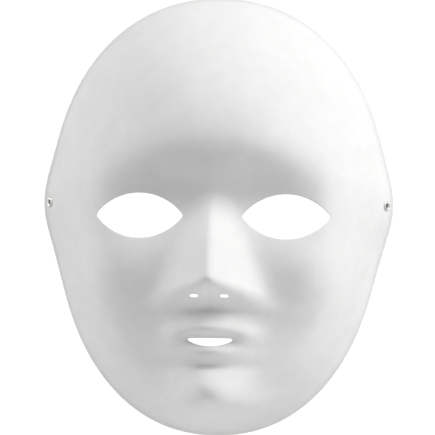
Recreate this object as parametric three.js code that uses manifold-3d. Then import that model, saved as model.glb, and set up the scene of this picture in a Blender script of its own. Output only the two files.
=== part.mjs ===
// Blank full-face costume mask: a moulded white paper-pulp shell with an eyelet at each temple.
// Millimetres. +Z is up, the face looks along -Y and +X is the viewer's right.
// The origin is midway between the two eyelets, in the plane of the trimmed rim (y = 0).

import * as THREE from 'three';
import { mergeVertices } from 'three/addons/utils/BufferGeometryUtils.js';
import Module from 'manifold-3d';

const wasm = await Module();
wasm.setup();

// ---------------------------------------------------------------- driving dimensions

const WALL = 1.6;

// Outline of the rim: an egg made of two superellipses, wider at the temples where the eyelets sit.
const OUTLINE = {
  crown: 113.5,
  chin: 127.5,
  browHalfWidth: 92.6,
  cheekHalfWidth: 90,
  browZ: 15,
  cheekZ: -25,
  crownPower: 2.13,
  chinPower: 2.16,
  templeTab: 4.9,
  templeTabZ: -5,
  templeTabSpread: 24.5,
};

// The plain dome that the features stand on. Its wall meets the rim at a slant by the temples, and
// nearly upright at the crown and the chin, as the steepness changes between the two heights.
const DOME = { depth: 57, fullness: 2.6, templeEdge: 1, endEdge: 0.86, templeZ: 15, endZ: 75 };

// Features fade out between these fractions of the way to the rim, so that the rim stays flat.
const FADE = { start: 0.76, end: 1 };

// The wall ends in a narrow flat lip, one wall thick, that starts at this reach. The softness rounds
// the fold between the two.
const LIP = { reach: 0.984, softness: 0.018 };

// Smooth swells and hollows of the face. A feature with x above 0 is mirrored to the other side.
const RELIEFS = {
  forehead: { height: 5, x: 0, z: 48, spreadX: 26, spreadZ: 42 },
  foreheadSide: { height: 7, x: 25, z: 42, spreadX: 26, spreadZ: 44 },
  brow: { height: 14.3, x: 33, z: 23.2, spreadX: 35.5, spreadZ: 21 },
  browTail: { height: 3, x: 64, z: 2, spreadX: 11, spreadZ: 19 },
  eyeSocket: { height: -20.2, x: 26, z: 13, spreadX: 29.5, spreadZ: 26 },
  cheekbone: { height: 12.5, x: 61, z: -38, spreadX: 24.5, spreadZ: 27 },
  muzzle: { height: 21.1, x: 0, z: -101.2, spreadX: 24, spreadZ: 29.3 },
  noseFoot: { height: 4.8, x: 0, z: -59.2, spreadX: 29, spreadZ: 5.6 },
  noseCrease: { height: -0.5, x: 8, z: -58.4, spreadX: 9, spreadZ: 3 },
  upperLip: { height: 13, x: 0, z: -68.6, spreadX: 17, spreadZ: 6.6 },
  mouthRecess: { height: -5.6, x: 0, z: -72.7, spreadX: 17, spreadZ: 3.6 },
  lipCorner: { height: 3.9, x: 19, z: -72, spreadX: 8, spreadZ: 5 },
  lowerLip: { height: 4.4, x: 0, z: -80.3, spreadX: 15, spreadZ: 3.3 },
  chinGroove: { height: -3.4, x: 0, z: -88.7, spreadX: 20, spreadZ: 3.4 },
  chin: { height: 49.6, x: 0, z: -116.4, spreadX: 34.5, spreadZ: 10.9 },
  chinBall: { height: 4.8, x: 0, z: -101.4, spreadX: 19, spreadZ: 7.5 },
  jaw: { height: 12, x: 57.5, z: -102, spreadX: 44, spreadZ: 32 },
};

// A wedge with a soft ridge, from between the eyes down to the tip. Below the tip its underside
// runs back to the lip, and starts lower the further it is from the ridge.
const NOSE = {
  rootZ: 7.3,
  tipZ: -38.4,
  baseZ: -58.8,
  height: 29.5,
  rootHalfWidth: 8.5,
  baseHalfWidth: 28,
  rootSoftness: 0.03,
  ridgeSoftness: 0.155,
  footSoftness: 0.13,
  undersideSweep: 0.33,
  footSweep: 0.1,
};

const EYE = { x: 40.3, z: -6.5, halfWidth: 24, halfHeight: 12.3, fullness: 0.8 };
const MOUTH = { z: -73.3, halfWidth: 12.5, arch: 0.5, pull: 5.4, corner: 1 };
const NOSTRIL = { x: 8.3, z: -50, halfWidth: 2.6, halfHeight: 0.95 };

const EYELET = {
  x: 93.0,
  boreRadius: 1.35,
  barrelRadius: 1.65,
  flangeRadius: 2.6,
  flangeThickness: 0.45,
  holeRadius: 2,
  washerInnerRadius: 2,
  washerOuterRadius: 3.1,
  washerThickness: 0.5,
  clenchRadius: 2.5,
  clenchGap: 0.1,
  chamfer: 0.2,
  clearance: 0.4,
};

// The shell's facets lie in sectors round a pole between the eyes and the mouth. Evenly spaced rings
// run from the pole to the foot of the wall, and a few more, given by their reach, over the lip.
const POLE_Z = -36;
const SECTORS = 80;
const RINGS = 22;
const WALL_FOOT = 0.965;
const LIP_RINGS = [0.978, 0.988, 1];

// Fineness of the openings and of the round parts.
const EYE_STEPS = 14;
const MOUTH_STEPS = 8;
const NOSTRIL_STEPS = 12;
const ROUND_SEGMENTS = 20;

// Cutters run from behind the rim out past the tip of the nose. The eyelets' cutters are short.
const CUTTER = { start: 10, length: 130, eyeletLength: 12 };

// The step for measuring a slope, the halvings when looking for a reach, and the distance at which
// two points are one.
const SLOPE_STEP = 0.05;
const BISECTIONS = 40;
const SAME_POINT = 1e-5;

// ---------------------------------------------------------------- materials

const pulp = new THREE.MeshStandardMaterial({ color: 0xf4f4f2, roughness: 0.9, metalness: 0 });
const nickel = new THREE.MeshStandardMaterial({ color: 0xb9b9b6, roughness: 0.3, metalness: 1 });

// ---------------------------------------------------------------- shape of the face

function smoothStep(low, high, value) {
  const t = THREE.MathUtils.clamp((value - low) / (high - low), 0, 1);
  return t * t * (3 - 2 * t);
}

function halfWidthAt(z) {
  const brow = smoothStep(OUTLINE.cheekZ, OUTLINE.browZ, z);
  const fromTab = (z - OUTLINE.templeTabZ) / OUTLINE.templeTabSpread;
  const tab = OUTLINE.templeTab * Math.exp(-(fromTab ** 2));
  return THREE.MathUtils.lerp(OUTLINE.cheekHalfWidth, OUTLINE.browHalfWidth, brow) + tab;
}

// How far (x, z) lies towards the rim: 0 at the centre and 1 on the outline.
function reach(x, z) {
  const reachZ = z > 0 ? OUTLINE.crown : OUTLINE.chin;
  const power = z > 0 ? OUTLINE.crownPower : OUTLINE.chinPower;
  return ((Math.abs(x) / halfWidthAt(z)) ** power + (Math.abs(z) / reachZ) ** power) ** (1 / power);
}

// A ramp that is 0 below zero and rises one for one above it, with a soft bend between.
function softRamp(value, softness) {
  return softness * Math.log1p(Math.exp(value / softness));
}

function swell(relief, x, z) {
  const across = (x - relief.x) / relief.spreadX;
  const up = (z - relief.z) / relief.spreadZ;
  return relief.height * Math.exp(-(across ** 2) - up ** 2);
}

function reliefHeight(x, z) {
  let total = 0;
  for (const relief of Object.values(RELIEFS)) {
    total += swell(relief, x, z);
    if (relief.x > 0) total += swell(relief, -x, z);
  }
  return total;
}

function noseHeight(x, z) {
  const { rootZ, tipZ, baseZ } = NOSE;
  const down = softRamp((rootZ - z) / (rootZ - tipZ), NOSE.rootSoftness);
  const spread = THREE.MathUtils.clamp((rootZ - z) / (rootZ - baseZ), 0, 1);
  const halfWidth = THREE.MathUtils.lerp(NOSE.rootHalfWidth, NOSE.baseHalfWidth, spread);
  const across = Math.hypot(x / halfWidth, NOSE.ridgeSoftness) - NOSE.ridgeSoftness;
  const tent = softRamp(1 - across, NOSE.footSoftness);
  const edgeZ = tipZ - NOSE.undersideSweep * Math.abs(x);
  const footZ = baseZ - NOSE.footSweep * Math.abs(x);
  return NOSE.height * down * tent * smoothStep(footZ, edgeZ, z);
}

// Height of the outer surface above the plane of the rim.
function faceHeight(x, z) {
  const toRim = Math.min(1, reach(x, z));
  const towardsEnd = smoothStep(DOME.templeZ, DOME.endZ, Math.abs(z));
  const edge = THREE.MathUtils.lerp(DOME.templeEdge, DOME.endEdge, towardsEnd);
  const rise = softRamp(1 - (toRim / LIP.reach) ** DOME.fullness, LIP.softness);
  const dome = (DOME.depth - WALL) * rise ** edge;
  const fade = 1 - smoothStep(FADE.start, FADE.end, toRim);
  return WALL + dome + fade * (reliefHeight(x, z) + noseHeight(x, z));
}

// Unit normal of the outer surface, pointing away from the wearer.
function faceNormal(x, z) {
  const riseX = faceHeight(x + SLOPE_STEP, z) - faceHeight(x - SLOPE_STEP, z);
  const riseZ = faceHeight(x, z + SLOPE_STEP) - faceHeight(x, z - SLOPE_STEP);
  return new THREE.Vector3(-riseX, -2 * SLOPE_STEP, -riseZ).normalize();
}

function facePoint(x, z) {
  return new THREE.Vector3(x, -faceHeight(x, z), z);
}

// ---------------------------------------------------------------- closed meshes and booleans

function solidOf(geometry) {
  const bare = geometry.clone();
  bare.deleteAttribute('normal');
  bare.deleteAttribute('uv');
  const merged = mergeVertices(bare, SAME_POINT);
  return new wasm.Manifold(new wasm.Mesh({
    numProp: 3,
    vertProperties: new Float32Array(merged.attributes.position.array),
    triVerts: new Uint32Array(merged.index.array),
  }));
}

function geometryOf(solid) {
  const mesh = solid.getMesh();
  const geometry = new THREE.BufferGeometry();
  geometry.setAttribute('position', new THREE.BufferAttribute(new Float32Array(mesh.vertProperties), 3));
  geometry.setIndex(new THREE.BufferAttribute(new Uint32Array(mesh.triVerts), 1));
  geometry.computeVertexNormals();
  return geometry;
}

// ---------------------------------------------------------------- shell

// The point with the given reach in the direction of a sector, by bisection from the pole.
function pointAtReach(sector, level) {
  const angle = (2 * Math.PI * sector) / SECTORS;
  const beyond = 2 * OUTLINE.chin;
  const aimX = -Math.sin(angle) * beyond;
  const aimZ = Math.cos(angle) * beyond;
  let inside = 0;
  let outside = 1;
  for (let pass = 0; pass < BISECTIONS; pass += 1) {
    const middle = (inside + outside) / 2;
    if (reach(aimX * middle, POLE_Z + aimZ * middle) < level) inside = middle;
    else outside = middle;
  }
  return new THREE.Vector2(aimX * inside, POLE_Z + aimZ * inside);
}

// A point of the inner surface, one wall behind the outer one.
function innerPoint(x, z) {
  return facePoint(x, z).addScaledVector(faceNormal(x, z), -WALL);
}

// Where the inner surface meets the rim's plane, worked out from the slant of the wall by the fold.
function innerEdgePoint(sector) {
  const foot = pointAtReach(sector, WALL_FOOT);
  const fold = pointAtReach(sector, LIP.reach);
  const normal = faceNormal(foot.x, foot.y);
  const flat = Math.hypot(normal.x, normal.z);
  const inset = (WALL * (1 + normal.y)) / flat ** 2;
  return new THREE.Vector3(fold.x - normal.x * inset, 0, fold.y - normal.z * inset);
}

// The (x, z) places of one sector of the outer surface, from next to the pole out to the rim.
function sectorPlaces(sector) {
  const pole = new THREE.Vector2(0, POLE_Z);
  const foot = pointAtReach(sector, WALL_FOOT);
  const places = [];
  for (let ring = 1; ring <= RINGS; ring += 1) places.push(pole.clone().lerp(foot, ring / RINGS));
  for (const level of LIP_RINGS) places.push(pointAtReach(sector, level));
  return places;
}

// The closed shell before its openings are cut: sectors of facets from the pole over the lip to the
// rim's plane, and from there back along the inner surface.
function blankShell() {
  const positions = [];
  const triangles = [];
  const addPoint = (point) => {
    positions.push(point.x, point.y, point.z);
    return positions.length / 3 - 1;
  };

  const outerPole = addPoint(facePoint(0, POLE_Z));
  const innerPole = addPoint(innerPoint(0, POLE_Z));
  const sectors = [];
  for (let sector = 0; sector < SECTORS; sector += 1) {
    const places = sectorPlaces(sector);
    const rim = places.at(-1);
    const chain = places.map((place) => addPoint(facePoint(place.x, place.y)));
    chain.push(addPoint(new THREE.Vector3(rim.x, 0, rim.y)), addPoint(innerEdgePoint(sector)));
    const inward = places.slice(0, RINGS).reverse();
    for (const place of inward) chain.push(addPoint(innerPoint(place.x, place.y)));
    sectors.push(chain);
  }
  sectors.forEach((chain, sector) => {
    const next = sectors[(sector + 1) % SECTORS];
    triangles.push(outerPole, chain[0], next[0]);
    triangles.push(innerPole, next.at(-1), chain.at(-1));
    for (let at = 1; at < chain.length; at += 1) {
      triangles.push(chain[at - 1], chain[at], next[at]);
      triangles.push(chain[at - 1], next[at], next[at - 1]);
    }
  });

  const geometry = new THREE.BufferGeometry();
  geometry.setAttribute('position', new THREE.Float32BufferAttribute(positions, 3));
  geometry.setIndex(triangles);
  return geometry;
}

// A cutter that runs straight through the face along Y, with the given outline in X and Z.
function frontCutter(outline) {
  const shape = new THREE.Shape(outline);
  const geometry = new THREE.ExtrudeGeometry(shape, { depth: CUTTER.length, bevelEnabled: false });
  return solidOf(geometry.rotateX(Math.PI / 2).translate(0, CUTTER.start, 0));
}

// An almond: two arcs that meet at the corners of the eye.
function eyeOutline(side) {
  const edge = (turn) => {
    const across = -Math.cos((Math.PI * turn) / EYE_STEPS);
    const height = EYE.halfHeight * (1 - across ** 2) ** EYE.fullness;
    return [side * EYE.x + EYE.halfWidth * across, height];
  };
  const points = [];
  for (let turn = 0; turn < EYE_STEPS; turn += 1) {
    const [x, height] = edge(turn);
    points.push(new THREE.Vector2(x, EYE.z - height));
  }
  for (let turn = EYE_STEPS; turn > 0; turn -= 1) {
    const [x, height] = edge(turn);
    points.push(new THREE.Vector2(x, EYE.z + height));
  }
  return points;
}

// A slot with a nearly straight upper edge and a bowed lower edge.
function mouthOutline() {
  const shape = new THREE.Shape();
  const { z, halfWidth, arch, pull, corner } = MOUTH;
  shape.moveTo(-halfWidth, z - corner);
  shape.bezierCurveTo(-halfWidth / 2, z - pull, halfWidth / 2, z - pull, halfWidth, z - corner);
  shape.lineTo(halfWidth - corner, z);
  shape.quadraticCurveTo(0, z + arch, corner - halfWidth, z);
  return shape.getPoints(MOUTH_STEPS);
}

function nostrilOutline(side) {
  const { x, z, halfWidth, halfHeight } = NOSTRIL;
  const curve = new THREE.EllipseCurve(side * x, z, halfWidth, halfHeight);
  return curve.getPoints(NOSTRIL_STEPS).slice(0, -1);
}

// Where an eyelet sits: its origin is on the outer surface and its +Y axis points outwards.
function eyeletPlace(side) {
  const place = new THREE.Object3D();
  place.position.copy(facePoint(side * EYELET.x, 0));
  place.quaternion.setFromUnitVectors(new THREE.Vector3(0, 1, 0), faceNormal(side * EYELET.x, 0));
  place.updateMatrix();
  return place;
}

function eyeletHoleCutter(side) {
  const { holeRadius } = EYELET;
  const geometry = new THREE.CylinderGeometry(holeRadius, holeRadius, CUTTER.eyeletLength, ROUND_SEGMENTS);
  return solidOf(geometry.applyMatrix4(eyeletPlace(side).matrix));
}

function makeShell() {
  let solid = solidOf(blankShell());
  const cutters = [frontCutter(mouthOutline())];
  for (const side of [-1, 1]) {
    cutters.push(frontCutter(eyeOutline(side)), frontCutter(nostrilOutline(side)), eyeletHoleCutter(side));
  }
  for (const cutter of cutters) solid = solid.subtract(cutter);
  const mesh = new THREE.Mesh(geometryOf(solid), pulp);
  mesh.name = 'mask_shell';
  return mesh;
}

// ---------------------------------------------------------------- eyelets and washers

function closedLathe(profile) {
  const points = profile.map(([radius, height]) => new THREE.Vector2(radius, height));
  return new THREE.LatheGeometry([...points, points[0]], ROUND_SEGMENTS);
}

// Barrel with a flange outside the wall and a clenched roll behind the washer.
function makeEyelet(side) {
  const { boreRadius, barrelRadius, flangeRadius, flangeThickness, clenchRadius, chamfer } = EYELET;
  const under = EYELET.clearance;
  const back = -WALL - 2 * EYELET.clearance - EYELET.washerThickness;
  const clench = back - EYELET.clenchGap;
  const profile = [
    [boreRadius, back - flangeThickness],
    [clenchRadius, back - flangeThickness],
    [clenchRadius, clench],
    [barrelRadius, clench],
    [barrelRadius, under],
    [flangeRadius, under],
    [flangeRadius - chamfer, under + flangeThickness],
    [boreRadius + chamfer, under + flangeThickness],
    [boreRadius, under + flangeThickness - chamfer],
  ];
  return placedMesh(closedLathe(profile), side);
}

function makeWasher(side) {
  const front = -WALL - EYELET.clearance;
  const back = front - EYELET.washerThickness;
  const profile = [
    [EYELET.washerInnerRadius, back],
    [EYELET.washerOuterRadius, back],
    [EYELET.washerOuterRadius, front],
    [EYELET.washerInnerRadius, front],
  ];
  return placedMesh(closedLathe(profile), side);
}

function placedMesh(geometry, side) {
  const mesh = new THREE.Mesh(geometry, nickel);
  const place = eyeletPlace(side);
  mesh.position.copy(place.position);
  mesh.quaternion.copy(place.quaternion);
  return mesh;
}

// ---------------------------------------------------------------- assembly

const mask = new THREE.Group();
mask.add(makeShell());
for (const [word, side] of [['left', -1], ['right', 1]]) {
  const eyelet = makeEyelet(side);
  eyelet.name = `eyelet_${word}`;
  const washer = makeWasher(side);
  washer.name = `eyelet_washer_${word}`;
  mask.add(eyelet, washer);
}

export default mask;
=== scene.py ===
"""Blank white full-face costume mask of moulded paper pulp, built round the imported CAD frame.

The shell, the two eyelets and their washers are modelled again here at full detail, in metres,
in the frame of the part: +Z up, the face looks along -Y, the rim lies in the plane y = 0.
"""

import math

import bmesh
import bpy
import numpy as np
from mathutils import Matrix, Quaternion, Vector, noise
from mathutils.geometry import delaunay_2d_cdt


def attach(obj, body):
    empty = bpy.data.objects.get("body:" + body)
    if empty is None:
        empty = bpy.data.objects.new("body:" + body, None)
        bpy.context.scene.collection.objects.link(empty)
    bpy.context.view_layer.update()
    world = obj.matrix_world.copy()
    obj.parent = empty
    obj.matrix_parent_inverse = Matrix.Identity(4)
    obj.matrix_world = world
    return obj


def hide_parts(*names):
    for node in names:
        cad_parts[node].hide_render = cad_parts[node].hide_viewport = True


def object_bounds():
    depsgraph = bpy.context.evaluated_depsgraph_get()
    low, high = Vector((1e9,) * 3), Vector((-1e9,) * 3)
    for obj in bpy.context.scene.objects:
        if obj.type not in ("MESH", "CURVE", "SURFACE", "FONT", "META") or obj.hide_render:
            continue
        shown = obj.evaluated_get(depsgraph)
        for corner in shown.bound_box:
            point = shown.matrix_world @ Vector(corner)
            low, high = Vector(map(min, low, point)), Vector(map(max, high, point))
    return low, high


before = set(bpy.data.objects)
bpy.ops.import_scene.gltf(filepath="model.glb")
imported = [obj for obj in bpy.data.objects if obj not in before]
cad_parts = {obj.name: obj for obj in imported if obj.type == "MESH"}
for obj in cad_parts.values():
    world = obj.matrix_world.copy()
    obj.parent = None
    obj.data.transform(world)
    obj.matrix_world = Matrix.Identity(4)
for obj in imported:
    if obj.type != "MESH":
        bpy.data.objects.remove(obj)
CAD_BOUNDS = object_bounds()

MM = 0.001

# ---------------------------------------------------------------- dimensions, in millimetres

WALL = 1.6

OUTLINE = dict(
    crown=113.5, chin=127.5, brow_half_width=92.6, cheek_half_width=90, brow_z=15, cheek_z=-25,
    crown_power=2.13, chin_power=2.16, temple_tab=4.9, temple_tab_z=-5, temple_tab_spread=24.5,
)
DOME = dict(depth=57, fullness=2.6, temple_edge=1.0, end_edge=0.86, temple_z=15, end_z=75)
FADE_START = 0.76

# The wall ends in a narrow flat lip, one wall thick, where the blank was trimmed.
LIP = dict(reach=0.984, softness=0.018)

# Swells and hollows: height, x, z, spread in x, spread in z. One with x above 0 is mirrored.
RELIEFS = dict(
    forehead=(5, 0, 48, 26, 42),
    forehead_side=(7, 25, 42, 26, 44),
    brow=(14.3, 33, 23.2, 35.5, 21),
    brow_tail=(3, 64, 2, 11, 19),
    eye_socket=(-20.2, 26, 13, 29.5, 26),
    cheekbone=(12.5, 61, -38, 24.5, 27),
    muzzle=(21.1, 0, -101.2, 24, 29.3),
    nose_foot=(4.8, 0, -59.2, 29, 5.6),
    nose_crease=(-0.5, 8, -58.4, 9, 3),
    upper_lip=(13, 0, -68.6, 17, 6.6),
    mouth_recess=(-5.6, 0, -72.7, 17, 3.6),
    lip_corner=(3.9, 19, -72, 8, 5),
    lower_lip=(4.4, 0, -80.3, 15, 3.3),
    chin_groove=(-3.4, 0, -88.7, 20, 3.4),
    chin=(49.6, 0, -116.4, 34.5, 10.9),
    chin_ball=(4.8, 0, -101.4, 19, 7.5),
    jaw=(12, 57.5, -102, 44, 32),
)
NOSE = dict(
    root_z=7.3, tip_z=-38.4, base_z=-58.8, height=29.5, root_half_width=8.5, base_half_width=28,
    root_softness=0.03, ridge_softness=0.155, foot_softness=0.13, underside_sweep=0.33,
    foot_sweep=0.1,
)

EYE = dict(x=40.3, z=-6.5, half_width=24, half_height=12.3, fullness=0.8)
MOUTH = dict(z=-73.3, half_width=12.5, arch=0.5, pull=5.4, corner=1)
NOSTRIL = dict(x=8.3, z=-50, half_width=2.6, half_height=0.95)

# Place, radii and thicknesses. The two rolled ends rise by roll and clench, and tuck draws them in
# where they meet the wall and the washer.
EYELET = dict(
    x=93.0, bore=1.35, barrel=1.65, flange=2.6, hole=1.85, washer=3.1, washer_thickness=0.45,
    roll=0.5, roll_base=0.08, clench=0.42, lip=0.05, seat=0.02, tuck=0.1,
)

# Radii of the rounded cut edges at the mouth and the eyes, at the nostrils and at the eyelets.
CUT_ROUNDING = 0.45
NOSTRIL_ROUNDING = 0.25
EYELET_ROUNDING = 0.2

# The shell's two sheets are triangulated from a grid of this spacing, with rings near the rim.
GRID_STEP = 1.3
ROW_STEP = GRID_STEP * math.sqrt(3) / 2
RIM_POINTS = 560
EYE_SPACING = 1.0
MOUTH_SPACING = 0.8
NOSTRIL_POINTS = 20
EYELET_HOLE_POINTS = 32

# Closed curves are looked for outwards from the pole, by bisection, and on the inner surface no
# further than the inner reach, which is short of the lip.
POLE = (0.0, -36.0)
INNER_REACH = 0.975
BISECTIONS = 40
SLOPE_STEP = 0.05

# ---------------------------------------------------------------- shape of the face


def smooth_step(low, high, value):
    t = np.clip((value - low) / (high - low), 0, 1)
    return t * t * (3 - 2 * t)


def soft_ramp(value, softness):
    """0 below zero and rising one for one above it, with a soft bend between."""
    return softness * np.log1p(np.exp(value / softness))


def half_width_at(z):
    from_tab = (z - OUTLINE["temple_tab_z"]) / OUTLINE["temple_tab_spread"]
    tab = OUTLINE["temple_tab"] * np.exp(-from_tab ** 2)
    cheek = OUTLINE["cheek_half_width"]
    brow = smooth_step(OUTLINE["cheek_z"], OUTLINE["brow_z"], z)
    return cheek + (OUTLINE["brow_half_width"] - cheek) * brow + tab


def reach(x, z):
    """How far a point lies towards the rim: 0 at the centre and 1 on the outline."""
    ends = np.where(z > 0, OUTLINE["crown"], OUTLINE["chin"])
    power = np.where(z > 0, OUTLINE["crown_power"], OUTLINE["chin_power"])
    return ((np.abs(x) / half_width_at(z)) ** power + (np.abs(z) / ends) ** power) ** (1 / power)


def relief_height(x, z):
    total = np.zeros_like(x)
    for height, centre_x, centre_z, spread_x, spread_z in RELIEFS.values():
        along = np.exp(-((z - centre_z) / spread_z) ** 2)
        total += height * along * np.exp(-((x - centre_x) / spread_x) ** 2)
        if centre_x > 0:
            total += height * along * np.exp(-((x + centre_x) / spread_x) ** 2)
    return total


def nose_height(x, z):
    """A wedge with a soft ridge. Below the tip its underside runs back to the lip."""
    root_z, tip_z, base_z = NOSE["root_z"], NOSE["tip_z"], NOSE["base_z"]
    down = soft_ramp((root_z - z) / (root_z - tip_z), NOSE["root_softness"])
    spread = np.clip((root_z - z) / (root_z - base_z), 0, 1)
    half_width = NOSE["root_half_width"] + (NOSE["base_half_width"] - NOSE["root_half_width"]) * spread
    across = np.hypot(x / half_width, NOSE["ridge_softness"]) - NOSE["ridge_softness"]
    tent = soft_ramp(1 - across, NOSE["foot_softness"])
    edge_z = tip_z - NOSE["underside_sweep"] * np.abs(x)
    foot_z = base_z - NOSE["foot_sweep"] * np.abs(x)
    return NOSE["height"] * down * tent * smooth_step(foot_z, edge_z, z)


def face_height(x, z):
    """Height of the outer surface above the plane of the rim."""
    to_rim = np.minimum(reach(x, z), 1)
    towards_end = smooth_step(DOME["temple_z"], DOME["end_z"], np.abs(z))
    edge = DOME["temple_edge"] + (DOME["end_edge"] - DOME["temple_edge"]) * towards_end
    rise = soft_ramp(1 - (to_rim / LIP["reach"]) ** DOME["fullness"], LIP["softness"])
    fade = 1 - smooth_step(FADE_START, 1, to_rim)
    return WALL + (DOME["depth"] - WALL) * rise ** edge + fade * (relief_height(x, z) + nose_height(x, z))


def face_slope(x, z):
    slope_x = (face_height(x + SLOPE_STEP, z) - face_height(x - SLOPE_STEP, z)) / (2 * SLOPE_STEP)
    slope_z = (face_height(x, z + SLOPE_STEP) - face_height(x, z - SLOPE_STEP)) / (2 * SLOPE_STEP)
    return slope_x, slope_z


def hollow_height(x, z):
    """Height of the inner surface, one wall behind the outer one."""
    slope_x, slope_z = face_slope(x, z)
    return face_height(x, z) - WALL * np.sqrt(1 + slope_x ** 2 + slope_z ** 2)


# ---------------------------------------------------------------- outlines, as arrays of (x, z)


def outline_at(level, count, inner=False):
    """The closed curve where reach, or for the inner surface its height, has the given level."""
    pole = np.array(POLE)
    angle = np.linspace(0, 2 * np.pi, count, endpoint=False)
    aim = np.stack([np.sin(angle), np.cos(angle)], 1)
    low = np.zeros(count)
    high = np.full(count, 2.0 * OUTLINE["chin"])
    for _ in range(BISECTIONS):
        middle = (low + high) / 2
        x, z = (pole + aim * middle[:, None]).T
        if inner:
            within = (reach(x, z) < INNER_REACH) & (hollow_height(x, z) > level)
        else:
            within = reach(x, z) < level
        low = np.where(within, middle, low)
        high = np.where(within, high, middle)
    return pole + aim * low[:, None]


def resample(points, spacing):
    """The same closed outline with evenly spaced points."""
    closed = np.vstack([points, points[:1]])
    lengths = np.concatenate([[0], np.cumsum(np.hypot(*np.diff(closed, axis=0).T))])
    count = max(12, int(round(lengths[-1] / spacing)))
    at = np.linspace(0, lengths[-1], count, endpoint=False)
    return np.stack([np.interp(at, lengths, closed[:, 0]), np.interp(at, lengths, closed[:, 1])], 1)


def eye_outline(side):
    """An almond: two arcs that meet at the corners of the eye."""
    turn = np.linspace(0, 2 * np.pi, 240, endpoint=False)
    across = -np.cos(turn)
    height = EYE["half_height"] * np.maximum(1 - across ** 2, 0) ** EYE["fullness"] * -np.sign(np.sin(turn))
    almond = np.stack([side * EYE["x"] + EYE["half_width"] * across, EYE["z"] + height], 1)
    return resample(almond, EYE_SPACING)


def mouth_outline():
    """A slot with a nearly straight upper edge and a bowed lower one."""
    half, top, corner = MOUTH["half_width"], MOUTH["z"], MOUTH["corner"]
    t = np.linspace(0, 1, 60)
    lower_x = half * (-(1 - t) ** 3 - 1.5 * (1 - t) ** 2 * t + 1.5 * (1 - t) * t ** 2 + t ** 3)
    lower_z = (top - corner) * ((1 - t) ** 3 + t ** 3) + 3 * (top - MOUTH["pull"]) * t * (1 - t)
    upper_x = np.linspace(half - corner, corner - half, 40)
    upper_z = top + MOUTH["arch"] / 2 * (1 - (upper_x / half) ** 2)
    slot = np.stack([np.r_[lower_x, upper_x], np.r_[lower_z, upper_z]], 1)
    return resample(slot, MOUTH_SPACING)


def nostril_outline(side):
    turn = np.linspace(0, 2 * np.pi, NOSTRIL_POINTS, endpoint=False)
    return np.stack([side * NOSTRIL["x"] + NOSTRIL["half_width"] * np.cos(turn),
                     NOSTRIL["z"] + NOSTRIL["half_height"] * np.sin(turn)], 1)


def eyelet_outline(side, radius):
    """The round eyelet hole, foreshortened where it's seen along Y, because its wall slants."""
    slope_x, slope_z = face_slope(np.array([side * EYELET["x"]]), np.array([0.0]))
    turn = np.linspace(0, 2 * np.pi, EYELET_HOLE_POINTS, endpoint=False)
    lean = 1 / math.sqrt(1 + slope_x[0] ** 2)
    return np.stack([side * EYELET["x"] + radius * lean * np.cos(turn), radius * np.sin(turn)], 1)


def grown(outline, distance):
    """The outline moved outwards by a distance."""
    ahead = np.roll(outline, -1, 0) - np.roll(outline, 1, 0)
    ahead /= np.maximum(np.hypot(*ahead.T)[:, None], 1e-9)
    outward = np.stack([ahead[:, 1], -ahead[:, 0]], 1)
    area = np.sum(outline[:, 0] * np.roll(outline[:, 1], -1) - np.roll(outline[:, 0], -1) * outline[:, 1])
    return outline + outward * distance * np.sign(area)


def inside(points, outline):
    """Which points lie within a closed outline."""
    x, z = points.T
    result = np.zeros(len(points), bool)
    for (x0, z0), (x1, z1) in zip(outline, np.roll(outline, -1, 0)):
        crosses = (z0 > z) != (z1 > z)
        at = (x1 - x0) * (z - z0) / (z1 - z0 + 1e-12) + x0
        result ^= crosses & (x < at)
    return result


# ---------------------------------------------------------------- shell mesh

# Clear distance, as reach, from the grid to the first ring, and in millimetres from the rim inwards.
RING_GAP = 0.008
RIM_GAP = 0.5

# How often the unevenness of the pulp changes, per millimetre.
COARSE_SCALE = 0.045
FINE_SCALE = 0.28

# A rounded corner takes this many steps, and at most this part of a short edge.
CORNER_STEPS = 4
MOST_OF_SPAN = 0.3


def grid_points():
    """A triangular grid that covers the whole outline."""
    half_width = OUTLINE["brow_half_width"] + OUTLINE["temple_tab"]
    rows = []
    for index, z in enumerate(np.arange(-OUTLINE["chin"], OUTLINE["crown"], ROW_STEP)):
        x = np.arange(-half_width, half_width, GRID_STEP) + (index % 2) * GRID_STEP / 2
        rows.append(np.stack([x, np.full_like(x, z)], 1))
    return np.vstack(rows)


def sheet_points(rim, holes, levels):
    """Points that fill a rim and leave its holes out: a grid, with rings of points near the rim."""
    points = grid_points()
    keep = reach(*points.T) < levels[0] - RING_GAP
    for hole in holes:
        keep &= ~inside(points, grown(hole, 0.8 * GRID_STEP))
    rings = [outline_at(level, RIM_POINTS) for level in levels[1:]]
    fill = np.vstack([points[keep]] + rings)
    return fill[inside(fill, grown(rim, -RIM_GAP))]


def triangulate(rim, holes, fill):
    """A sheet of triangles between the rim and the holes, and where each given point ended up in it."""
    loops = [rim] + holes
    points = np.vstack(loops + [fill])
    edges = []
    start = 0
    for loop in loops:
        count = len(loop)
        edges += [(start + i, start + (i + 1) % count) for i in range(count)]
        start += count
    result = delaunay_2d_cdt([Vector(p) for p in points], edges, [], 0, 1e-6)
    vertices = np.array([tuple(v) for v in result[0]])
    faces = np.array([f for f in result[2] if len(f) == 3])
    centres = vertices[faces].mean(1)
    keep = inside(centres, rim)
    for hole in holes:
        keep &= ~inside(centres, hole)
    faces = faces[keep]
    where = [None] * len(points)
    for index, sources in enumerate(result[3]):
        for source in sources:
            where[source] = index
    return vertices, faces, where


def corner(start, bend, end):
    """Loops that round a corner from start to end, pulled towards bend. The first is left out."""
    turns = np.linspace(0, 1, CORNER_STEPS + 1)[1:]
    return [(1 - t) ** 2 * start + 2 * t * (1 - t) * bend + t * t * end for t in turns]


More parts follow.
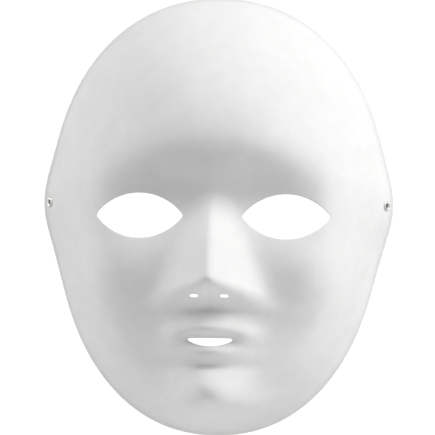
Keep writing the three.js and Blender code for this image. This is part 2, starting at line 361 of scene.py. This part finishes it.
def edge_loops(outer, corners, inner):
    """The loops over a trimmed edge with rounded corners, from the outer surface to the inner one."""
    loops = []
    start = outer
    for bend, following in zip(corners, corners[1:] + [None]):
        if following is None:
            return loops + corner(start, bend, inner)[:-1]
        span = following - bend
        length = np.linalg.norm(span, axis=1)[:, None]
        set_back = span * np.minimum(CUT_ROUNDING / length, MOST_OF_SPAN)
        loops += corner(start, bend, bend + set_back)
        loops.append((bend + following) / 2)
        start = following - set_back
        loops.append(start)
    return loops


class MeshParts:
    """Vertices and faces gathered before they become one mesh."""

    def __init__(self):
        self.vertices = []
        self.faces = []
        self.finishes = []

    def add_vertices(self, points):
        first = len(self.vertices)
        self.vertices += [tuple(p) for p in points]
        return np.arange(first, first + len(points))

    def add_faces(self, faces, finish):
        self.faces += [tuple(int(v) for v in face) for face in faces]
        self.finishes += [finish] * len(faces)

    def bridge(self, loop_a, loop_b, finish):
        next_a, next_b = np.roll(loop_a, -1), np.roll(loop_b, -1)
        self.add_faces(np.stack([loop_a, next_a, next_b, loop_b], 1), finish)

    def to_object(self, name, materials):
        mesh = bpy.data.meshes.new(name)
        mesh.from_pydata([Vector(v) * MM for v in self.vertices], [], self.faces)
        mesh.polygons.foreach_set("material_index", self.finishes)
        mesh.polygons.foreach_set("use_smooth", [True] * len(self.faces))
        for material in materials:
            mesh.materials.append(material)
        mesh.update()
        piece = bpy.data.objects.new(name, mesh)
        bpy.context.scene.collection.objects.link(piece)
        return piece


def lifted(points, height):
    """(x, z) points put on a surface of the given height, as (x, y, z)."""
    x, z = points.T
    return np.stack([x, -height(x, z), z], 1)


def moulded(points, coarse, fine, seed):
    """Points nudged along Y by the slight unevenness of moulded pulp."""
    offset = Vector((seed * 17.3, seed * 5.1, seed * 11.9))
    nudge = []
    for point in points:
        place = Vector(point)
        swell = coarse * noise.noise(place * COARSE_SCALE + offset)
        nudge.append(swell + fine * noise.noise(place * FINE_SCALE + offset))
    return points + np.stack([np.zeros(len(points)), nudge, np.zeros(len(points))], 1)


OUTSIDE, CUT, INSIDE = 0, 1, 2

# Each sheet has rings of points at these levels of reach, closer together towards the rim.
OUTER_SHEET = dict(
    finish=OUTSIDE, height=face_height, coarse=0.10, fine=0.03,
    levels=(0.93, 0.942, 0.953, 0.962, 0.969, 0.975, 0.979, 0.983, 0.987, 0.991),
)
INNER_SHEET = dict(
    finish=INSIDE, height=hollow_height, coarse=0.12, fine=0.10, levels=(0.9, 0.91, 0.925, 0.94, 0.95),
)

# The outer sheet ends at this reach, and the inner one this high above the rim's plane.
OUTER_RIM_REACH = 0.996
INNER_RIM_HEIGHT = 0.9


def hole_outlines():
    """The outlines of the openings, and the rounding of each one's edges."""
    holes = [(mouth_outline(), CUT_ROUNDING)]
    for side in (-1, 1):
        holes.append((eye_outline(side), CUT_ROUNDING))
        holes.append((nostril_outline(side), NOSTRIL_ROUNDING))
        holes.append((eyelet_outline(side, EYELET["hole"]), EYELET_ROUNDING))
    return holes


def add_sheet(parts, loops, sheet):
    """One surface of the shell. Returns the vertices along its rim, which comes first, and its holes."""
    rim, holes = loops[0], loops[1:]
    fill = sheet_points(rim, holes, sheet["levels"])
    vertices, faces, where = triangulate(rim, holes, fill)
    placed = moulded(lifted(vertices, sheet["height"]), sheet["coarse"], sheet["fine"], 1 + sheet["finish"])
    index = parts.add_vertices(placed)
    parts.add_faces(index[faces], sheet["finish"])
    ends = np.cumsum([len(loop) for loop in loops])
    return [index[np.array(where[end - len(loop):end])] for loop, end in zip(loops, ends)]


def rim_bends():
    """The corners that the trimmed rim turns, from the outer surface to the inner one."""
    edge = outline_at(1, RIM_POINTS)
    inner_edge = outline_at(0, RIM_POINTS, inner=True)
    return [lifted(edge, lambda x, z: np.full_like(x, WALL)), lifted(edge, lambda x, z: np.zeros_like(x)),
            lifted(inner_edge, lambda x, z: np.zeros_like(x))]


def face_outwards(piece):
    """Turn every face of a closed mesh to the outside."""
    mesh = bmesh.new()
    mesh.from_mesh(piece.data)
    bmesh.ops.recalc_face_normals(mesh, faces=mesh.faces)
    mesh.to_mesh(piece.data)
    mesh.free()


def build_shell(materials):
    """Two sheets one wall apart, joined over the rounded edges of the rim and of each opening."""
    holes = hole_outlines()
    set_back = [grown(outline, rounding) for outline, rounding in holes]
    outer_rim = outline_at(OUTER_RIM_REACH, RIM_POINTS)
    inner_rim = outline_at(INNER_RIM_HEIGHT, RIM_POINTS, inner=True)
    bends = [rim_bends()]
    bends += [[lifted(outline, face_height), lifted(outline, hollow_height)] for outline, _ in holes]

    parts = MeshParts()
    outer_loops = add_sheet(parts, [outer_rim] + set_back, OUTER_SHEET)
    inner_loops = add_sheet(parts, [inner_rim] + set_back, INNER_SHEET)
    points = np.array(parts.vertices)
    for outer_loop, inner_loop, corners in zip(outer_loops, inner_loops, bends):
        previous = outer_loop
        for ring in edge_loops(points[outer_loop], corners, points[inner_loop]):
            current = parts.add_vertices(ring)
            parts.bridge(previous, current, CUT)
            previous = current
        parts.bridge(previous, inner_loop, CUT)

    shell = parts.to_object("shell", materials)
    face_outwards(shell)
    return shell


# ---------------------------------------------------------------- eyelets and washers


def eyelet_axes(side):
    """The point where an eyelet sits on the wall, and its axis, pointing out of the face."""
    x = np.array([side * EYELET["x"]])
    z = np.array([0.0])
    slope_x, slope_z = face_slope(x, z)
    point = Vector((x[0], -face_height(x, z)[0], 0))
    return point, Vector((-slope_x[0], -1, -slope_z[0])).normalized()


def turned(name, profile, side, material, segments=64):
    """A closed profile of (radius, height) turned about an eyelet's axis."""
    point, axis = eyelet_axes(side)
    turn = axis.to_track_quat("Z", "Y")
    parts = MeshParts()
    rings = []
    for radius, height in profile:
        ring = []
        for step in range(segments):
            angle = 2 * math.pi * step / segments
            local = Vector((radius * math.cos(angle), radius * math.sin(angle), height))
            ring.append(point + turn @ local)
        rings.append(parts.add_vertices(ring))
    for ring, following in zip(rings, rings[1:] + rings[:1]):
        parts.bridge(ring, following, 0)
    piece = parts.to_object(name, [material])
    face_outwards(piece)
    return piece


def arc(centre_r, centre_h, radius_r, radius_h, start, end, steps):
    """Part of an ellipse, as (radius, height) points of a profile. Angles in degrees."""
    angles = np.radians(np.linspace(start, end, steps))
    return [(centre_r + radius_r * math.cos(a), centre_h + radius_h * math.sin(a)) for a in angles]


def build_eyelet(side, word, metal):
    """A barrel with a rolled flange outside the wall and a clenched roll behind the washer."""
    bore, barrel, flange = EYELET["bore"], EYELET["barrel"], EYELET["flange"]
    under = -WALL - EYELET["washer_thickness"]
    back = under - EYELET["lip"]
    middle = (flange + bore) / 2
    half = (flange - bore) / 2
    edge = flange - EYELET["tuck"]
    profile = arc(middle, EYELET["roll_base"], half, EYELET["roll"], 0, 180, 14)
    profile += arc(middle, back, half, -EYELET["clench"], 180, 0, 14)
    profile += [(edge, under), (barrel, under), (barrel, EYELET["seat"]), (edge, EYELET["seat"])]
    return turned(f"eyelet_ring_{word}", profile, side, metal)


def build_washer(side, word, metal):
    """A flat ring with chamfered edges against the inside of the wall."""
    inner, outer, chamfer = EYELET["hole"], EYELET["washer"], EYELET["tuck"]
    top = -WALL
    low = top - EYELET["washer_thickness"]
    profile = [
        (inner, low + chamfer), (inner + chamfer, low),
        (outer - chamfer, low), (outer, low + chamfer),
        (outer, top - chamfer), (outer - chamfer, top),
        (inner + chamfer, top), (inner, top - chamfer),
    ]
    return turned(f"washer_{word}", profile, side, metal)


# ---------------------------------------------------------------- materials


class Nodes:
    """Short calls for building one material's node tree."""

    def __init__(self, name):
        self.material = bpy.data.materials.new(name)
        self.material.use_nodes = True
        self.tree = self.material.node_tree
        self.shader = self.tree.nodes["Principled BSDF"]
        self.place = self.tree.nodes.new("ShaderNodeTexCoord").outputs["Object"]

    def link(self, source, target):
        self.tree.links.new(source, target)

    def noise(self, scale, detail=3.0, roughness=0.55, stretch=None, turn=(0, 0, 0)):
        node = self.tree.nodes.new("ShaderNodeTexNoise")
        node.inputs["Scale"].default_value = scale
        node.inputs["Detail"].default_value = detail
        node.inputs["Roughness"].default_value = roughness
        source = self.place
        if stretch:
            mapping = self.tree.nodes.new("ShaderNodeMapping")
            mapping.inputs["Rotation"].default_value = turn
            mapping.inputs["Scale"].default_value = stretch
            self.link(self.place, mapping.inputs["Vector"])
            source = mapping.outputs["Vector"]
        self.link(source, node.inputs["Vector"])
        return node.outputs["Fac"]

    def math(self, operation, first, second, clamp=False):
        node = self.tree.nodes.new("ShaderNodeMath")
        node.operation = operation
        node.use_clamp = clamp
        for socket, value in zip(node.inputs, (first, second)):
            if isinstance(value, (int, float)):
                socket.default_value = value
            else:
                self.link(value, socket)
        return node.outputs["Value"]

    def ramp(self, source, low, high, low_colour, high_colour):
        node = self.tree.nodes.new("ShaderNodeMapRange")
        node.data_type = "FLOAT"
        node.inputs["From Min"].default_value = low
        node.inputs["From Max"].default_value = high
        self.link(source, node.inputs["Value"])
        return self.mix(node.outputs["Result"], low_colour, high_colour)

    def mix(self, factor, first, second):
        node = self.tree.nodes.new("ShaderNodeMix")
        node.data_type = "RGBA"
        self.link(factor, node.inputs["Factor"])
        for key, value in (("A", first), ("B", second)):
            socket = [s for s in node.inputs if s.name == key and s.type == "RGBA"][0]
            if isinstance(value, tuple):
                socket.default_value = (*value, 1)
            else:
                self.link(value, socket)
        return [s for s in node.outputs if s.type == "RGBA"][0]

    def bump(self, height, distance, strength):
        node = self.tree.nodes.new("ShaderNodeBump")
        node.inputs["Distance"].default_value = distance
        node.inputs["Strength"].default_value = strength
        self.link(height, node.inputs["Height"])
        self.link(node.outputs["Normal"], self.shader.inputs["Normal"])


def fibres(nodes, scale):
    """Thin matted fibres: three sets of long streaks that cross each other."""
    total = None
    for turn in ((0.2, 0.4, 0.3), (1.3, 0.2, 1.9), (0.7, 1.4, 0.9)):
        streak = nodes.noise(scale, 2, 0.5, stretch=(1, 0.12, 0.25), turn=turn)
        thin = nodes.math("ABSOLUTE", nodes.math("SUBTRACT", streak, 0.5), 0)
        line = nodes.math("SUBTRACT", 1, nodes.math("MULTIPLY", thin, 14), clamp=True)
        total = line if total is None else nodes.math("MAXIMUM", total, line)
    return total


def pulp_material(name, pale, shade, grain, fibre_weight, bump_distance, fleck_weight=0.35):
    """Matt white pulp: a faint mottle, matted fibres and a few grey flecks of other paper."""
    nodes = Nodes(name)
    mottle = nodes.noise(90, 4, 0.6)
    colour = nodes.ramp(mottle, 0.3, 0.7, shade, pale)
    tone = nodes.noise(1400, 2, 0.5)
    colour = nodes.mix(nodes.math("MULTIPLY", tone, 0.06), colour, shade)

    cells = nodes.tree.nodes.new("ShaderNodeTexVoronoi")
    cells.inputs["Scale"].default_value = 70
    nodes.link(nodes.place, cells.inputs["Vector"])
    near = nodes.math("LESS_THAN", cells.outputs["Distance"], 0.022)
    red = nodes.tree.nodes.new("ShaderNodeSeparateColor")
    nodes.link(cells.outputs["Color"], red.inputs["Color"])
    chosen = nodes.math("GREATER_THAN", red.outputs["Red"], 0.82)
    fleck = nodes.math("MULTIPLY", near, nodes.math("MULTIPLY", chosen, fleck_weight))
    colour = nodes.mix(fleck, colour, (0.3, 0.3, 0.29))
    nodes.link(colour, nodes.shader.inputs["Base Color"])

    rough = nodes.noise(300, 3, 0.6)
    roughness = nodes.math("ADD", 0.82, nodes.math("MULTIPLY", rough, 0.14))
    nodes.link(roughness, nodes.shader.inputs["Roughness"])
    nodes.shader.inputs["Specular IOR Level"].default_value = 0.1

    fine = nodes.noise(grain, 3, 0.6)
    felt = nodes.noise(grain * 0.22, 4, 0.6)
    height = nodes.math("ADD", nodes.math("MULTIPLY", fine, 0.5), nodes.math("MULTIPLY", felt, 1.0))
    height = nodes.math("ADD", height, nodes.math("MULTIPLY", fibres(nodes, grain * 0.35), fibre_weight))
    nodes.bump(height, bump_distance, 1.0)
    return nodes.material


def metal_material():
    """Nickel plate, faintly scratched round the roll and duller in patches."""
    nodes = Nodes("nickel")
    nodes.shader.inputs["Metallic"].default_value = 1.0
    patch = nodes.noise(900, 3, 0.6)
    colour = nodes.ramp(patch, 0.3, 0.7, (0.40, 0.39, 0.37), (0.58, 0.58, 0.57))
    nodes.link(colour, nodes.shader.inputs["Base Color"])
    wear = nodes.noise(2600, 2, 0.5, stretch=(1, 1, 0.2))
    roughness = nodes.math("ADD", 0.22, nodes.math("MULTIPLY", wear, 0.25))
    nodes.link(roughness, nodes.shader.inputs["Roughness"])
    nodes.bump(nodes.noise(3500, 2, 0.5), 0.00002, 0.5)
    return nodes.material


def floor_material():
    """Plain pale paper, very faintly clouded."""
    nodes = Nodes("pale_floor")
    cloud = nodes.noise(3, 3, 0.5)
    colour = nodes.ramp(cloud, 0.3, 0.7, (0.80, 0.80, 0.80), (0.83, 0.83, 0.83))
    nodes.link(colour, nodes.shader.inputs["Base Color"])
    nodes.shader.inputs["Roughness"].default_value = 0.9
    nodes.shader.inputs["Specular IOR Level"].default_value = 0.1
    return nodes.material


# ---------------------------------------------------------------- camera, floor and light

VIEW = dict(azimuth=4.0, roll=0.7, distance=5, lens=750, sensor=36, aim_x=-0.0006, aim_z=-0.0003)

# Soft boxes: energy in watts, azimuth (0 in front, 90 to the right) and elevation in degrees.
LIGHTS = dict(
    key=(24.3, 75, 35), top=(8.8, -15, 65), left=(10.5, -75, 35),
    edge_right=(2.0, 110, 5), edge_left=(6.1, -110, 5),
)
FLOOR = dict(radius=2.0, below=0.16, sides=96)
LIGHT_SIZE = 1.0
LIGHT_DISTANCE = 1.7
AMBIENT = 0.08
BACKDROP = 1.1


def middle_of_part():
    low, high = CAD_BOUNDS
    return Vector(((low.x + high.x) / 2, high.y, (low.z + high.z) / 2))


def build_camera():
    """The photograph's view: level, a few degrees to one side, from far off."""
    data = bpy.data.cameras.new("camera")
    data.sensor_width = VIEW["sensor"]
    data.lens = VIEW["lens"]
    camera = bpy.data.objects.new("camera", data)
    bpy.context.scene.collection.objects.link(camera)
    azimuth = math.radians(VIEW["azimuth"])
    back = Vector((math.sin(azimuth), -math.cos(azimuth), 0))
    target = middle_of_part() + Vector((VIEW["aim_x"], 0, VIEW["aim_z"]))
    camera.location = target + back * VIEW["distance"]
    camera.rotation_mode = "QUATERNION"
    roll = Quaternion((0, 0, 1), math.radians(VIEW["roll"]))
    camera.rotation_quaternion = (-back).to_track_quat("-Z", "Y") @ roll
    bpy.context.scene.camera = camera


def build_floor():
    """A pale disc below the chin, low enough to stay out of the picture."""
    level = CAD_BOUNDS[0].z - FLOOR["below"]
    ring = []
    for step in range(FLOOR["sides"]):
        angle = 2 * math.pi * step / FLOOR["sides"]
        ring.append((FLOOR["radius"] * math.cos(angle), FLOOR["radius"] * math.sin(angle), level))
    mesh = bpy.data.meshes.new("floor")
    mesh.from_pydata(ring, [], [tuple(range(FLOOR["sides"]))])
    mesh.materials.append(floor_material())
    floor = bpy.data.objects.new("floor", mesh)
    bpy.context.scene.collection.objects.link(floor)


def area_light(name, energy, azimuth, elevation):
    """A square soft box aimed at the middle of the part."""
    data = bpy.data.lights.new(name, "AREA")
    data.energy = energy
    data.size = LIGHT_SIZE
    light = bpy.data.objects.new(name, data)
    bpy.context.scene.collection.objects.link(light)
    around, up = math.radians(azimuth), math.radians(elevation)
    back = Vector((math.sin(around) * math.cos(up), -math.cos(around) * math.cos(up), math.sin(up)))
    light.location = middle_of_part() + back * LIGHT_DISTANCE
    light.visible_camera = False
    light.rotation_mode = "QUATERNION"
    light.rotation_quaternion = (-back).to_track_quat("-Z", "Y")


def build_world():
    """A faint even light all round, and a plain white background that metal reflects too."""
    world = bpy.data.worlds.new("studio")
    world.use_nodes = True
    tree = world.node_tree
    ambient = tree.nodes["Background"]
    ambient.inputs["Color"].default_value = (1, 1, 1, 1)
    ambient.inputs["Strength"].default_value = AMBIENT
    backdrop = tree.nodes.new("ShaderNodeBackground")
    backdrop.inputs["Color"].default_value = (1, 1, 1, 1)
    backdrop.inputs["Strength"].default_value = BACKDROP
    path = tree.nodes.new("ShaderNodeLightPath")
    seen = tree.nodes.new("ShaderNodeMath")
    seen.operation = "MAXIMUM"
    tree.links.new(path.outputs["Is Camera Ray"], seen.inputs[0])
    tree.links.new(path.outputs["Is Glossy Ray"], seen.inputs[1])
    choice = tree.nodes.new("ShaderNodeMixShader")
    tree.links.new(seen.outputs["Value"], choice.inputs["Fac"])
    tree.links.new(ambient.outputs["Background"], choice.inputs[1])
    tree.links.new(backdrop.outputs["Background"], choice.inputs[2])
    tree.links.new(choice.outputs["Shader"], tree.nodes["World Output"].inputs["Surface"])
    bpy.context.scene.world = world


# ---------------------------------------------------------------- scene

pulp_outside = pulp_material("pulp_outside", (0.86, 0.86, 0.855), (0.82, 0.82, 0.815), 900, 0.10, 0.00009)
pulp_cut = pulp_material("pulp_cut", (0.88, 0.88, 0.87), (0.80, 0.80, 0.785), 1500, 0.8, 0.00018, 0.2)
pulp_inside = pulp_material("pulp_inside", (0.85, 0.85, 0.84), (0.77, 0.77, 0.755), 700, 1.0, 0.00035)
nickel = metal_material()

shell = build_shell([pulp_outside, pulp_cut, pulp_inside])
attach(shell, "root")
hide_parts("mask_shell")

for side, word in ((-1, "left"), (1, "right")):
    for piece, node in ((build_eyelet(side, word, nickel), f"eyelet_{word}"),
                        (build_washer(side, word, nickel), f"eyelet_washer_{word}")):
        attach(piece, "root")
        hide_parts(node)

build_floor()
build_camera()
build_world()
for name, (energy, azimuth, elevation) in LIGHTS.items():
    area_light(name, energy, azimuth, elevation)
bpy.context.scene.view_settings.view_transform = "Standard"
